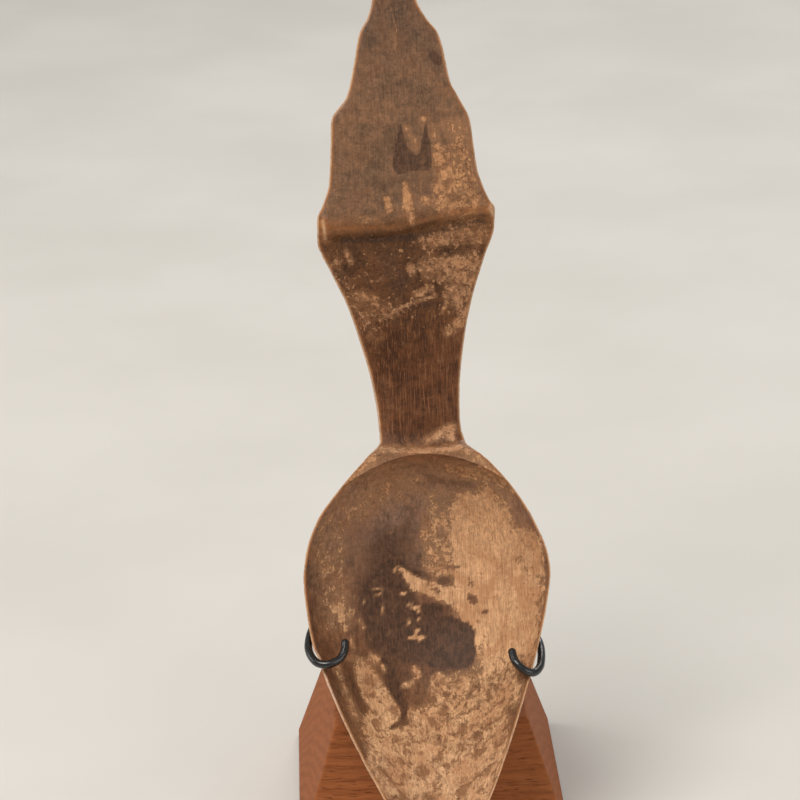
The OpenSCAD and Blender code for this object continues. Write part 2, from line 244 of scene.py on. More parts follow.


# ---- Patina, and painted shade and highlights. A stroke is (x, up, radius, x, up, radius, level,
# softness) in millimetres: a tapered line painted over what is already there. In BARE_STROKES and
# BACK_STROKES, levels below 0 are patina and levels above it are bare antler. In the other two, 0 is no
# mark.
BARE_STROKES = (
    # Upper handle: a mottled film on the right, flaked patches, and loose bits under the stain
    (10, 134, 2, 12, 122, 3, -0.42, 3),
    (11.4, 118, 3.6, 11.2, 103, 5.4, 0, 2.6),
    (5.4, 120, 0.8, 6.2, 112, 1, 0, 1.2),
    (3.4, 122.2, 0.5, 3.6, 122, 0.4, 0.9, 0.4),
    (8.5, 120.4, 1, 12.5, 119, 1.2, 0.06, 1.6),
    (6.6, 115.5, 0.8, 8.2, 104, 3, 0.2, 1.6),
    (11.6, 113, 1.2, 12.6, 102, 1.8, 0.14, 1.4),
    (2.6, 103.4, 1.2, 9, 101.8, 1.8, 0.22, 1.4),
    (-0.5, 120, 0.9, 1.4, 116, 0.9, -0.08, 0.8),
    (-3.2, 148.4, 0.03, -1.9, 143, 0.06, 0.3, 0.3),
    (-1.9, 143, 0.06, -2.5, 138.5, 0.03, 0.3, 0.3),
    (-5.8, 104, 0.7, -5.3, 101.6, 0.9, 0.5, 0.5),
    (-1.6, 107.4, 0.5, -0.8, 102, 1.4, 0.5, 0.5),
    (-0.8, 101.4, 1, 0, 98, 0.6, 0.34, 0.6),
    (-12.4, 99.8, 0.9, -8, 99.2, 1, -0.1, 1),
    (-9.6, 106.4, 0.6, -9, 102.8, 0.7, -0.26, 0.8),
    # Under the ridge: porous speckled area on the right
    (-18, 90, 1.6, -10, 72, 2, -0.3, 2.4),
    (2.4, 94, 1.4, 15.6, 95.4, 2, 0.1, 1.6),
    (3, 88.2, 2, 13.4, 86.4, 4.4, 0.3, 2),
    (9.6, 82, 2.8, 12.4, 77.6, 2.4, 0.26, 1.6),
    (11, 75.6, 1.4, 7.2, 73.2, 0.9, 0.3, 1),
    (-0.9, 88.3, 0.9, -0.5, 87.2, 0.9, 0.44, 0.6),
    (2.8, 88.8, 0.9, 3.4, 88.2, 0.8, 0.3, 0.6),
    (0.4, 82.2, 0.7, 3.8, 83.4, 0.8, 0.24, 0.7),
    (-15.4, 92.4, 0.6, -14.6, 90, 0.8, 0.24, 0.6),
    (-12, 80.4, 2.4, -5, 78, 1.8, -0.24, 1.6),
    (-13.4, 82.6, 0.6, -9.4, 81.4, 0.8, 0.16, 0.9),
    (-8.4, 76.2, 0.1, -3, 79.4, 0.2, 0.5, 0.4),
    (-3, 79.4, 0.2, 4.6, 81.6, 0.5, 0.5, 0.5),
    (7.4, 80.4, 0.5, 6, 77.6, 0.4, 0.1, 0.5),
    # Neck and ledge
    (-8, 62, 1.4, -7, 52, 1.4, -0.46, 2),
    (1.6, 48.4, 0.8, 7, 50.6, 1.8, 0.2, 1),
    (5.4, 49.6, 0.7, 7.4, 48.4, 0.7, 0.3, 0.7),
    (-11, 47, 1, 1.9, 45.9, 0.9, 0.2, 0.8),
    (1.9, 45.9, 0.9, 11.4, 46.6, 1, 0.2, 0.8),
    (-22, 36, 0.8, -11, 45.2, 1.4, 0.04, 1),
    (11, 45.2, 1.6, 20.6, 36, 1, 0.1, 1),
    # Bowl: worn thin all round, bare on the right, with the wedge that runs into the dark middle
    (-22, 28, 4.6, -21, 8, 4.4, -0.08, 3),
    (-17, 32, 4, -2, 39, 3, -0.08, 3),
    (12, 38, 5, 20, 14, 8, 0.06, 3),
    (24, 24, 3.4, 21, 0, 4, 0.3, 2),
    (11.8, 27.6, 7.8, 15.4, 6, 7.6, 0.5, 2.6),
    (3.6, 37, 3, 3.4, 28, 3.8, -0.06, 1.4),
    (3.2, 28, 3.8, 3.4, 19, 3.6, 0.04, 1),
    (6, 41.8, 1.4, 13.4, 39.6, 1.6, 0.1, 1.2),
    (-6, 18.9, 0.3, -2, 14.6, 1.5, 0.5, 0.5),
    (-2, 14.6, 1.5, 8.4, 10.8, 1.8, 0.5, 0.6),
    (8.4, 10.8, 1.6, 13.4, 2, 1.6, 0.44, 0.8),
    (2, 5.4, 3.4, 7.4, 3, 3.5, -1, 0.35),
    (2, 0.4, 3.8, 7.6, -0.6, 3.4, -1, 0.35),
    (-6, 1, 3, 2, 1, 3.4, -0.9, 0.8),
    (0.2, 9.2, 1, 3.4, 9.2, 0.8, -0.8, 0.5),
    (10.4, 11.4, 0.6, 11.2, 10.6, 0.9, -0.75, 0.4),
    (13, 8.4, 0.4, 13.8, 8, 0.5, -0.75, 0.4),
    (-0.8, 17.8, 0.2, 1.2, 15.9, 0.4, -0.6, 0.4),
    (4.2, 15.6, 0.6, 6, 15, 0.5, -0.5, 0.6),
    (5.4, 18.2, 0.2, 8.4, 18.2, 0.2, -0.5, 0.5),
    (10.4, 15.6, 0.5, 10.8, 13.8, 0.4, -0.34, 0.6),
    (0.6, 14.4, 0.3, 3.4, 12.6, 0.4, -0.5, 0.5),
    (2, 39, 2, 11.8, 37.2, 1.1, -0.6, 0.9),
    (10.4, 41.9, 0.3, 13, 42.6, 0.3, -0.6, 0.4),
    # Bowl: small flecks in the dark half
    (-21, 10.6, 1, -17.6, 9.4, 1.1, 0.1, 0.7),
    (-19.8, 8.6, 0.7, -18.8, 5, 0.4, 0.3, 0.5),
    (-20.6, 10.6, 0.4, -20.2, 9.4, 0.4, 0.5, 0.4),
    (-16.2, 12.6, 0.2, -16, 12.2, 0.3, 0.5, 0.3),
    (-15.8, 7.4, 0.5, -14.6, 5.6, 0.5, 0, 0.6),
    (-22.4, 27, 0.3, -21.8, 22, 0.4, -0.05, 0.6),
    (-6.2, 13, 0.15, -4.4, 12.5, 0.25, 0.8, 0.3),
    (-11.6, 12.5, 0.15, -9.8, 13.2, 0.2, 0.6, 0.3),
    (-12.6, 13.8, 0.1, -9.6, 14.2, 0.15, 0.5, 0.3),
    (-10.4, 10.2, 0.25, -10.1, 9.2, 0.3, 0.8, 0.3),
    (-3.8, 10.4, 0.3, -1.6, 9.2, 0.5, 0.8, 0.3),
    (-2.8, 4.6, 0.15, -0.6, 5.4, 0.3, 0.8, 0.3),
    (-1.9, 7.2, 0.2, -0.5, 6.8, 0.3, 0.8, 0.3),
    (-4.2, 2.9, 0.25, -0.9, 2.8, 0.5, 0.8, 0.3),
    (-2.8, 3.8, 0.3, -2.2, 2.4, 0.3, 0.8, 0.3),
    (-4.6, 7.6, 0.2, -4.1, 6.6, 0.2, 0.7, 0.3),
    (-7.4, 18.6, 0.15, -6.6, 17.2, 0.2, 0.7, 0.3),
    (-14.8, 12.6, 0.15, -14.4, 11, 0.2, 0.6, 0.3),
    (-8.6, 27.4, 0.15, -7.4, 27.2, 0.15, 0.5, 0.3),
    # Lower bowl: mottled, and paler toward the tip
    (-17.8, 2.6, 0.4, -17.4, 0.6, 0.5, 0.2, 0.6),
    (15, -3, 4, 17, -9, 4, 0.26, 2),
    (-18.2, -1.6, 0.8, -14, -2, 1, -0.1, 1),
    (-13.2, -0.8, 0.7, -12, -1.6, 0.9, 0.2, 0.6),
    (-10.8, -2.9, 0.4, -10.4, -3.7, 0.5, 0.3, 0.4),
    (-3.4, -3.4, 0.6, -2.6, -4.6, 0.7, 0.4, 0.5),
    (-6.2, -6.8, 0.5, -3.8, -5.8, 0.6, 0.3, 0.5),
    (-15.2, -5, 2.4, -11.2, -12.4, 4.6, 0.46, 1.4),
    (-12.4, -16, 3.6, -9, -28, 6.4, 0.44, 1.5),
    (12.4, -14, 4.4, 9, -28, 7, 0.38, 1.6),
    (1.4, -6.4, 1.2, 2.4, -5.6, 1.4, 0.4, 0.8),
    (2, -8, 3, 13, -8.4, 4.4, 0.2, 1.6),
    (-4, -14.4, 3.4, 8, -14, 5.6, 0.22, 1.6),
    (-1.8, -23, 10.5, -1.6, -40, 15, 0.42, 2),
    (-10, -5.6, 0.7, -7.2, -9.8, 0.9, -0.8, 0.6),
    (-6.2, -11, 0.6, -6.6, -14, 0.7, -0.9, 0.4),
    (-6.6, -14, 0.7, -9.6, -15.6, 0.3, -0.9, 0.4),
    (-19.2, -4.6, 1, -15.6, -13, 1, -0.7, 0.8),
    (-21.6, -3, 0.7, -17.4, -14, 0.9, 0, 0.9),
    (5.1, -9.3, 0.3, 5.6, -9.1, 0.4, -0.6, 0.4),
    (8.3, -9.9, 0.2, 8.8, -9.7, 0.3, -0.5, 0.5),
)
STAIN_AND_SHADE_STROKES = (
    # The forked stain over the ridge, and the smoky band under it
    (-2, 121, 0.12, -2, 116, 1.2, 1.1, 0.2),
    (-2.1, 116, 1.2, -2.1, 111.8, 2.1, 1.1, 0.35),
    (-1.4, 115.6, 0.6, 1.2, 111.8, 1.5, 1.1, 0.35),
    (3.8, 121, 0.12, 3.7, 116, 1, 1.1, 0.2),
    (3.7, 116, 1, 3.2, 112, 1.8, 1.1, 0.35),
    (-2.4, 111.4, 1.5, 3.2, 112.2, 1.5, 1.1, 0.4),
    (-5.6, 107.6, 0.8, 4.6, 108.4, 0.9, 0.5, 1.4),
    (-7.4, 107.8, 0.7, -6.4, 106.2, 0.7, 0.5, 1),
    (3.4, 106.2, 0.3, 4, 104.4, 0.3, 0.4, 0.7),
    (10.4, 117, 1, 10.8, 114, 1, 0.3, 1.2),
    (6.2, 136.8, 0.9, 7.2, 135.4, 1.2, 1, 0.5),
    (-3.4, 150, 1.2, -1.8, 142, 1, 0.3, 1.6),
    # Under the ridge: painted shade in the crease below the crest, then stain lower down
    (-16, 94.8, 0.7, 0, 95, 0.7, 1, 0.9),
    (0, 95, 0.7, 16, 98, 0.8, 0.9, 0.9),
    (-6.5, 91, 3, -3, 84, 3.2, 0.5, 2.2),
    (-3.4, 78.6, 0.6, 4.6, 79.8, 1, 0.5, 1),
    (-10.6, 84.8, 0.2, -10, 83.8, 0.5, 0.9, 0.5),
    # Bowl: stain and painted shade under the arc, stain down the middle, and the large patch on the right
    (-20, 36.2, 0.2, -12.6, 40.4, 0.6, 0.42, 1.6),
    (-12.6, 40.4, 0.6, 2, 43, 0.8, 0.5, 1.6),
    (-12, 38.4, 1.2, 1, 41.6, 1.2, 0.3, 2),
    (2.4, 39, 1.6, 11.4, 37.4, 1.2, 0.45, 1.4),
    (-2.4, 32, 1.6, -4.4, 24, 3, 0.5, 2.6),
    (-9, 25, 4, -9, 16, 5.6, 0.64, 3.4),
    (-11, 12, 4.4, -10, 4, 4.8, 0.9, 2.2),
    (-6, 9, 4.6, -4, 2, 4.6, 0.95, 2),
    (2, 5.4, 3.4, 7.4, 3, 3.5, 1, 0.5),
    (2, 0.4, 3.8, 7.6, -0.6, 3.4, 1, 0.5),
    (0.2, 9.4, 1.4, 3.4, 9.4, 1, 0.9, 0.7),
    (-8.6, 20, 1.4, -1.6, 16.6, 1.2, 0.8, 1),
    (-10, -1, 2, -6.6, -12, 1.6, 0.7, 1.2),
    (-18.6, -5, 1, -15.6, -15, 1, 0.4, 1.2),
)
AMBER_AND_HIGHLIGHT_STROKES = (
    # The crest of the cross ridge: amber polish from handling, brightened as a painted highlight on its lit
    # top
    (-19, 97.6, 0.5, -4, 97.2, 0.5, 0.55, 1),
    (-4, 97.2, 0.4, 1.4, 98.4, 0.4, 0.45, 0.9),
    (1.4, 98.4, 0.4, 9, 100, 0.6, 0.65, 0.9),
    (9, 100, 0.6, 18, 100.8, 0.7, 0.7, 0.9),
    # Painted highlights on the two ends of the crest
    (-20.6, 99.4, 0.9, -20.2, 95.4, 0.9, 1, 1.2),
    (18, 103, 0.7, 18.4, 99.4, 0.9, 1, 1.2),
)
# Worn places on the back, at their own heights
BACK_STROKES = (
    (-8, 120, 2.4, -5, 108, 3.2, -0.05, 2.6),
    (-4, 105, 1.8, -1, 101, 1.4, 0.15, 1.4),
    (7, 132, 1.6, 6, 124, 1.4, 0.05, 1.8),
    (3, 128, 0.6, 4, 119, 0.6, 0.15, 1),
    (2, 86, 1.8, 0, 76, 2.2, -0.1, 2.2),
    (-2, 72, 1.2, -3, 64, 1.6, 0.05, 1.6),
    (5, 62, 0.6, 5.6, 55, 0.6, 0.1, 1),
    (-12, 31, 3, -9, 18, 4, 0.05, 3),
    (-15, 14, 1.4, -11, 9, 1.8, 0.25, 1.4),
    (10, 6, 3.2, 5, -10, 3.8, 0.12, 2.8),
    (14, 27, 1.8, 16, 18, 2, 0.1, 2),
    (2, 24, 0.9, 3, 17, 0.8, 0.1, 1.2),
    (-2, -24, 6, -2, -40, 9, 0.36, 3),
    (-3, 46, 2, 5, 44, 2, 0.12, 2),
)
# The level where the patina is untouched: bare antler starts near 0
PATINA_LEVEL = -0.6
SMALLEST_RUN = 1e-6


def srgb(red, green, blue):
    """A colour given as 0 to 255, as the linear values that a shader takes."""
    shares = [c / 255 for c in (red, green, blue)]
    return tuple(c / 12.92 if c <= 0.04045 else ((c + 0.055) / 1.055) ** 2.4 for c in shares)


# Colour of the dark layer and of the bare antler along the spoon
patina_colour = Curve(
    (-38, srgb(126, 88, 60)), (-20, srgb(124, 87, 60)), (-6, srgb(110, 76, 53)),
    (10, srgb(112, 78, 57)), (22, srgb(121, 92, 73)), (32, srgb(149, 115, 94)),
    (41, srgb(162, 122, 93)), (45, srgb(142, 101, 71)), (50, srgb(87, 51, 28)),
    (66, srgb(84, 48, 25)), (78, srgb(88, 54, 30)), (92, srgb(88, 57, 34)),
    (96, srgb(106, 68, 38)), (99.5, srgb(118, 81, 53)), (104, srgb(118, 87, 64)),
    (126, srgb(121, 89, 65)), (146, srgb(100, 75, 57)), (163, srgb(88, 67, 51)),
)
bare_colour = Curve(
    (-38, srgb(220, 174, 132)), (-24, srgb(222, 176, 134)), (-10, srgb(224, 176, 131)),
    (10, srgb(224, 175, 131)), (30, srgb(222, 172, 128)), (44, srgb(208, 158, 116)),
    (47, srgb(196, 150, 113)), (52, srgb(190, 143, 105)), (76, srgb(186, 138, 100)),
    (94, srgb(180, 133, 96)), (99, srgb(190, 138, 96)), (126, srgb(200, 146, 104)),
    (163, srgb(176, 130, 94)),
)


def painted(x, up, strokes, level):
    """The level at each place after every stroke."""
    level = np.full(np.shape(x), float(level))
    for x0, up0, r0, x1, up1, r1, target, soft in strokes:
        run = np.array([x1 - x0, up1 - up0])
        length = max(SMALLEST_RUN, run @ run)
        share = np.clip(((x - x0) * run[0] + (up - up0) * run[1]) / length, 0, 1)
        away = np.hypot(x - x0 - share * run[0], up - up0 - share * run[1]) - mixed(r0, r1, share)
        level = mixed(level, target, smooth_step(soft, -soft, away))
    return level


# ---- Mesh helpers. A shape is a pair: its points in millimetres, and its faces.
TURNED_SIDES = 72


def loft(rings):
    """A closed skin over rings that have the same number of points."""
    count = len(rings[0])
    last = len(rings) - 1
    faces = [
        (i * count + k, i * count + (k + 1) % count, (i + 1) * count + (k + 1) % count, (i + 1) * count + k)
        for i in range(last)
        for k in range(count)
    ]
    faces.append(tuple(range(count - 1, -1, -1)))
    faces.append(tuple(range(last * count, (last + 1) * count)))
    return np.concatenate(rings), faces


def across_axis(along):
    """Two directions at right angles to an axis and to each other."""
    guide = np.array([1.0, 0, 0]) if abs(along[0]) < 0.8 else np.array([0, 1.0, 0])
    side = unit(guide - (guide @ along) * along)
    return side, np.cross(along, side)


def turned(start, along, outline):
    """A turned shape: outline is (distance along the axis, radius) from one end to the other."""
    along = unit(np.array(along, float))
    side, other = across_axis(along)
    angles = np.linspace(0, 2 * math.pi, TURNED_SIDES, endpoint=False)[:, None]
    wheel = np.cos(angles) * side + np.sin(angles) * other
    return loft([np.array(start, float) + along * at + wheel * radius for at, radius in outline])


def turned_tube(start, along, outline):
    """A turned shape whose outline comes back to its start, with no end caps."""
    points, faces = turned(start, along, outline)
    last = (len(outline) - 1) * TURNED_SIDES
    joining = []
    for k in range(TURNED_SIDES):
        following = (k + 1) % TURNED_SIDES
        joining.append((last + k, last + following, following, k))
    return points, faces[:-2] + joining


# ---- Shader helpers
class Paint:
    """One procedural material: short calls that add its nodes and link them."""

    def __init__(self, name, **constants):
        self.material = bpy.data.materials.new(name)
        self.material.use_nodes = True
        self.tree = self.material.node_tree
        self.shader = self.tree.nodes["Principled BSDF"]
        for socket, value in constants.items():
            self.shader.inputs[socket.replace("_", " ")].default_value = value

    def set(self, node, key, value):
        socket = node.inputs[key]
        if isinstance(value, bpy.types.NodeSocket):
            self.tree.links.new(value, socket)
        elif isinstance(value, (tuple, list)) and len(value) == 3 and socket.type == "RGBA":
            socket.default_value = (*value, 1)
        else:
            socket.default_value = value

    def node(self, kind, settings=None, **inputs):
        made = self.tree.nodes.new("ShaderNode" + kind)
        for key, value in (settings or {}).items():
            setattr(made, key, value)
        for key, value in inputs.items():
            self.set(made, key.replace("_", " "), value)
        return made

    def attribute(self, name, output="Fac"):
        return self.node("Attribute", {"attribute_name": name}).outputs[output]

    def position(self):
        """The place on the object in millimetres."""
        return self.stretched(self.node("TexCoord").outputs["Object"], (1000, 1000, 1000))

    def stretched(self, vector, scale):
        return self.node("Mapping", Vector=vector, Scale=scale).outputs["Vector"]

    def wandering(self, vector, drift, reach):
        """A place moved by a noise colour, by up to reach along each axis."""
        made = self.node("VectorMath", {"operation": "MULTIPLY_ADD"})
        self.set(made, 0, drift)
        self.set(made, 1, reach)
        self.set(made, 2, vector)
        return made.outputs[0]

    def noise(self, vector, scale, detail=4, roughness=0.55, distortion=0, output="Fac"):
        made = self.node(
            "TexNoise", Vector=vector, Scale=scale, Detail=detail, Roughness=roughness, Distortion=distortion
        )
        return made.outputs[output]

    def cells(self, vector, scale):
        """The distance to the middle of the nearest cell."""
        return self.node("TexVoronoi", Vector=vector, Scale=scale).outputs["Distance"]

    def math(self, operation, a, b=0.0):
        made = self.node("Math", {"operation": operation})
        self.set(made, 0, a)
        self.set(made, 1, b)
        return made.outputs[0]

    def add(self, a, b):
        return self.math("ADD", a, b)

    def times(self, a, b):
        return self.math("MULTIPLY", a, b)

    def step(self, value, low, high, to_low=0.0, to_high=1.0):
        """A smooth change from to_low, where the value is low, to to_high."""
        made = self.node(
            "MapRange", {"interpolation_type": "SMOOTHSTEP"}, Value=value, From_Min=low, From_Max=high,
            To_Min=to_low, To_Max=to_high,
        )
        return made.outputs[0]

    def mix(self, share, a, b, blend="MIX"):
        made = self.node("Mix", {"data_type": "RGBA", "blend_type": blend})
        self.set(made, 0, share)
        # Of the node's sockets, 6 and 7 are the colours, and output 2 is the mixed colour
        self.set(made, 6, a)
        self.set(made, 7, b)
        return made.outputs[2]

    def shaded(self, colour, tone):
        """A colour made darker or lighter by a tone, where 1 leaves it as it is."""
        grey = self.node("CombineColor", Red=tone, Green=tone, Blue=tone).outputs[0]
        return self.mix(1.0, colour, grey, "MULTIPLY")

    def off_middle(self, value, gain):
        """A noise value measured from its middle, and scaled."""
        return self.times(self.math("SUBTRACT", value, 0.5), gain)

    def bump(self, height, distance, strength=1.0, under=None):
        made = self.node("Bump", Height=height, Distance=distance, Strength=strength)
        if under is not None:
            self.set(made, "Normal", under)
        return made.outputs["Normal"]

    def finish(self, **sockets):
        for key, value in sockets.items():
            self.set(self.shader, key.replace("_", " "), value)
        return self.material


class AntlerPaint(Paint):
    """Antler: the spoon's own layers, and the noises that its coats of colour share."""

    def __init__(self):
        super().__init__("Antler", Specular_IOR_Level=0.2, Coat_Roughness=0.22)
        spot = self.attribute("place", "Vector")
        self.bare = self.attribute("bare")
        self.stain_and_shade = self.attribute("stain_and_shade")
        self.edge = self.attribute("edge")
        self.pores = self.attribute("pores")
        self.combed = self.attribute("combed")
        self.flakes = self.noise(self.stretched(spot, (1, 0.8, 1)), 0.55, 10, 0.72, 0.4)
        self.drifts = self.noise(spot, 0.15, 5, 0.62, 0.5)
        self.streaks = self.noise(self.stretched(spot, (1.7, 0.1, 1.2)), 1.1, 6, 0.64)
        self.fine_streaks = self.noise(self.stretched(spot, (3.4, 0.12, 2.8)), 1.1, 6, 0.64)
        self.grains = self.noise(spot, 2.1, 7, 0.74)
        self.blots = self.noise(spot, 0.72, 8, 0.7, 0.3)
        self.mottles = self.noise(spot, 0.42, 5, 0.62, 0.6)
        self.crumble = self.noise(spot, 0.85, 7, 0.68, 0.6)
        wobbly_spot = self.wandering(spot, self.noise(spot, 0.9, 4, output="Color"), (1.6, 1.6, 1.6))
        self.pits = self.times(self.step(self.cells(wobbly_spot, 0.95), 0.12, 0.42, 1, 0), self.pores)


def dark_layer(p):
    """The patina: streaked along the spoon, blotched, and deeper where it is stained, and in the painted
    shade under the ridge's crest and the bowl's arc.
    """
    combing = p.times(p.off_middle(p.streaks, 2.2), p.step(p.combed, 0.35, 1, 0.4, 1))
    tone = p.times(p.add(combing, 1), p.step(p.drifts, 0.34, 0.66, 0.8, 1.2))
    for grain, low, high, darker, paler in (
        (p.grains, 0.38, 0.64, 0.8, 1.2),
        (p.mottles, 0.38, 0.62, 0.88, 1.13),
        (p.blots, 0.38, 0.62, 0.84, 1.17),
        (p.fine_streaks, 0.4, 0.62, 0.9, 1.1),
    ):
        tone = p.times(tone, p.step(grain, low, high, darker, paler))
    dark = p.shaded(p.attribute("patina", "Color"), tone)
    dark = p.mix(p.times(p.step(p.drifts, 0.42, 0.62), 0.3), dark, srgb(112, 70, 42))
    comb_marks = p.times(p.combed, p.step(p.fine_streaks, 0.53, 0.62))
    dark = p.mix(p.times(comb_marks, 0.48), dark, srgb(146, 98, 66))
    # Stain, and painted shade in the crease under the ridge's crest and under the bowl's arc
    stain_and_shade_level = p.add(p.stain_and_shade, p.add(p.off_middle(p.flakes, 1.1), p.off_middle(p.grains, 0.5)))
    stain_and_shade_colour = p.mix(p.step(p.crumble, 0.4, 0.62), srgb(62, 42, 30), srgb(92, 63, 45))
    stain_and_shade_colour = p.mix(p.step(p.fine_streaks, 0.5, 0.66, 0, 0.5), stain_and_shade_colour, srgb(112, 82, 62))
    return p.mix(p.step(stain_and_shade_level, 0.2, 0.78, 0, 0.88), dark, stain_and_shade_colour)


def bare_layer(p):
    """The antler under the patina: warm bone with streaks, darker pores and brown flecks."""
    pale = p.shaded(p.attribute("bare_colour", "Color"), p.step(p.blots, 0.38, 0.64, 0.8, 1.2))
    pale = p.shaded(pale, p.step(p.streaks, 0.36, 0.64, 0.88, 1.12))
    mottling = p.times(p.step(p.mottles, 0.46, 0.62), p.step(p.pores, 0.05, 0.35, 0, 0.85))
    for share, mark in (
        (p.step(p.drifts, 0.42, 0.62, 0, 0.6), srgb(184, 130, 90)),
        (p.step(p.fine_streaks, 0.47, 0.62, 0, 0.5), srgb(150, 103, 70)),
        (mottling, srgb(134, 92, 62)),
        (p.step(p.blots, 0.56, 0.64, 0, 0.55), srgb(132, 90, 60)),
        (p.step(p.grains, 0.55, 0.66, 0, 0.36), srgb(122, 82, 54)),
    ):
        pale = p.mix(share, pale, mark)
    return pale


def polished_edges_and_painted_highlights(p, colour):
    """Amber over the edges that handling has polished, with a paler tone at the very edge and pale spots on
    it, both painted highlights.
    """
    # Amber polish, turning at the very edge to a pale tone that is a painted highlight
    amber_and_highlight = p.mix(p.step(p.edge, 0.6, 1), srgb(158, 98, 50), srgb(204, 154, 110))
    amber_and_highlight = p.mix(p.step(p.blots, 0.42, 0.62, 0, 0.6), amber_and_highlight, srgb(134, 82, 44))
    amber_and_highlight_share = p.times(p.step(p.edge, 0, 0.8), p.step(p.flakes, 0.36, 0.6, 0.4, 0.9))
    # Painted highlight: a pale colour in spots where the edge layer is highest
    painted_highlight = p.times(p.step(p.edge, 0.75, 1), p.step(p.blots, 0.42, 0.6, 0.1, 0.8))
    return p.mix(painted_highlight, p.mix(amber_and_highlight_share, colour, amber_and_highlight), srgb(226, 182, 140))


def antler_material():
    """Carved antler: a worn dark layer over pale bone, polished amber at its edges, with painted highlights
    along them.
    """
    p = AntlerPaint()
    dark = dark_layer(p)
    pale = bare_layer(p)

    # Where the dark layer has worn thin, and where it has flaked off
    level = p.add(p.bare, p.off_middle(p.drifts, 0.5))
    thin = p.step(p.add(level, p.off_middle(p.flakes, 1.6)), -0.62, 0.2, 0, 0.62)
    crumbs = p.add(p.off_middle(p.flakes, 1.9), p.off_middle(p.grains, 1.2))
    crumbs = p.add(crumbs, p.times(p.off_middle(p.crumble, 4.5), p.pores))
    crumbs = p.add(crumbs, p.off_middle(p.crumble, 1.2))
    worn = p.step(p.add(level, crumbs), -0.06, 0.1)
    thinned = p.mix(thin, dark, p.mix(0.35, pale, srgb(146, 100, 66)))
    colour = p.mix(worn, thinned, pale)
    colour = p.mix(p.times(p.pits, 0.45), colour, srgb(84, 54, 34))
    colour = polished_edges_and_painted_highlights(p, colour)

    rough = p.add(p.step(worn, 0, 1, 0.5, 0.66), p.step(p.grains, 0.3, 0.7, -0.08, 0.08))
    rough = p.math("SUBTRACT", rough, p.times(p.edge, 0.16))
    normal = p.bump(worn, 0.00011, 0.8)
    for height, distance, strength in (
        (p.streaks, 0.00018, 0.6),
        (p.fine_streaks, 0.00006, 0.6),
        (p.blots, 0.0002, 0.35),
        (p.grains, 0.00007, 0.6),
        (p.math("SUBTRACT", 1.0, p.pits), 0.00022, 0.8),
    ):
        normal = p.bump(height, distance, strength, normal)
    return p.finish(Base_Color=colour, Roughness=rough, Coat_Weight=p.times(p.edge, 0.5), Normal=normal)


def wood_material():
    """Oiled red-brown hardwood, its grain running across the plinth, with fine open pores."""
    p = Paint("Oiled_Hardwood", Specular_IOR_Level=0.07)
    spot = p.position()
    drift = p.noise(p.stretched(spot, (0.25, 1, 1)), 0.06, 3, output="Color")
    grain_spot = p.wandering(spot, drift, (0, 7, 7))
    # The rings are centred on the heart of the tree, which lies outside the block
    heart = p.node("Mapping", Vector=grain_spot, Location=(0, 46, 74)).outputs["Vector"]
    rings = p.node(
        "TexWave", {"wave_type": "RINGS", "rings_direction": "X"}, Vector=p.stretched(heart, (0.05, 1, 1)),
        Scale=0.11, Distortion=2.2, Detail=4.0, Detail_Scale=0.7, Detail_Roughness=0.62,
    ).outputs["Fac"]
    lines = p.noise(p.stretched(grain_spot, (0.05, 1, 1)), 1.4, 7, 0.66)
    fibres = p.noise(p.stretched(grain_spot, (0.07, 1.6, 1.6)), 2.2, 6, 0.66)
    pores = p.noise(p.stretched(grain_spot, (0.09, 1.7, 1.7)), 2.1, 3, 0.5)
    clouds = p.noise(p.stretched(spot, (0.4, 1, 1)), 0.09, 3)

    colour = p.mix(p.step(rings, 0.1, 1), srgb(160, 95, 56), srgb(141, 83, 49))
    colour = p.mix(p.step(lines, 0.38, 0.64, 0, 0.6), colour, srgb(178, 111, 69))
    colour = p.mix(p.step(fibres, 0.48, 0.66, 0, 0.45), colour, srgb(118, 62, 36))
    colour = p.mix(p.step(clouds, 0.35, 0.7, 0, 0.4), colour, srgb(168, 96, 54))
    open_pores = p.step(pores, 0.6, 0.68)
    colour = p.mix(p.times(open_pores, 0.45), colour, srgb(86, 44, 25))

    rough = p.add(p.step(fibres, 0.3, 0.7, 0.54, 0.68), p.times(open_pores, 0.16))
    normal = p.bump(fibres, 0.00008, 0.6)
    normal = p.bump(p.math("SUBTRACT", 1.0, open_pores), 0.00012, 0.8, normal)
    return p.finish(Base_Color=colour, Roughness=rough, Normal=normal)


def felt_material():
    """Dense black wool felt with short stray fibres."""
    p = Paint("Black_Felt", Sheen_Weight=0.5, Sheen_Roughness=0.55, Specular_IOR_Level=0.2)
    spot = p.position()
    fibres = p.noise(p.stretched(spot, (1, 1, 2.4)), 3.2, 8, 0.75, 1.2)
    clumps = p.noise(spot, 0.5, 4, 0.6)
    colour = p.mix(p.step(fibres, 0.35, 0.7), srgb(20, 19, 19), srgb(52, 50, 49))
    colour = p.mix(p.step(clumps, 0.45, 0.75, 0, 0.5), colour, srgb(34, 32, 32))
    rough = p.step(fibres, 0.3, 0.7, 0.86, 1.0)
    return p.finish(Base_Color=colour, Roughness=rough, Normal=p.bump(fibres, 0.0002, 0.9))


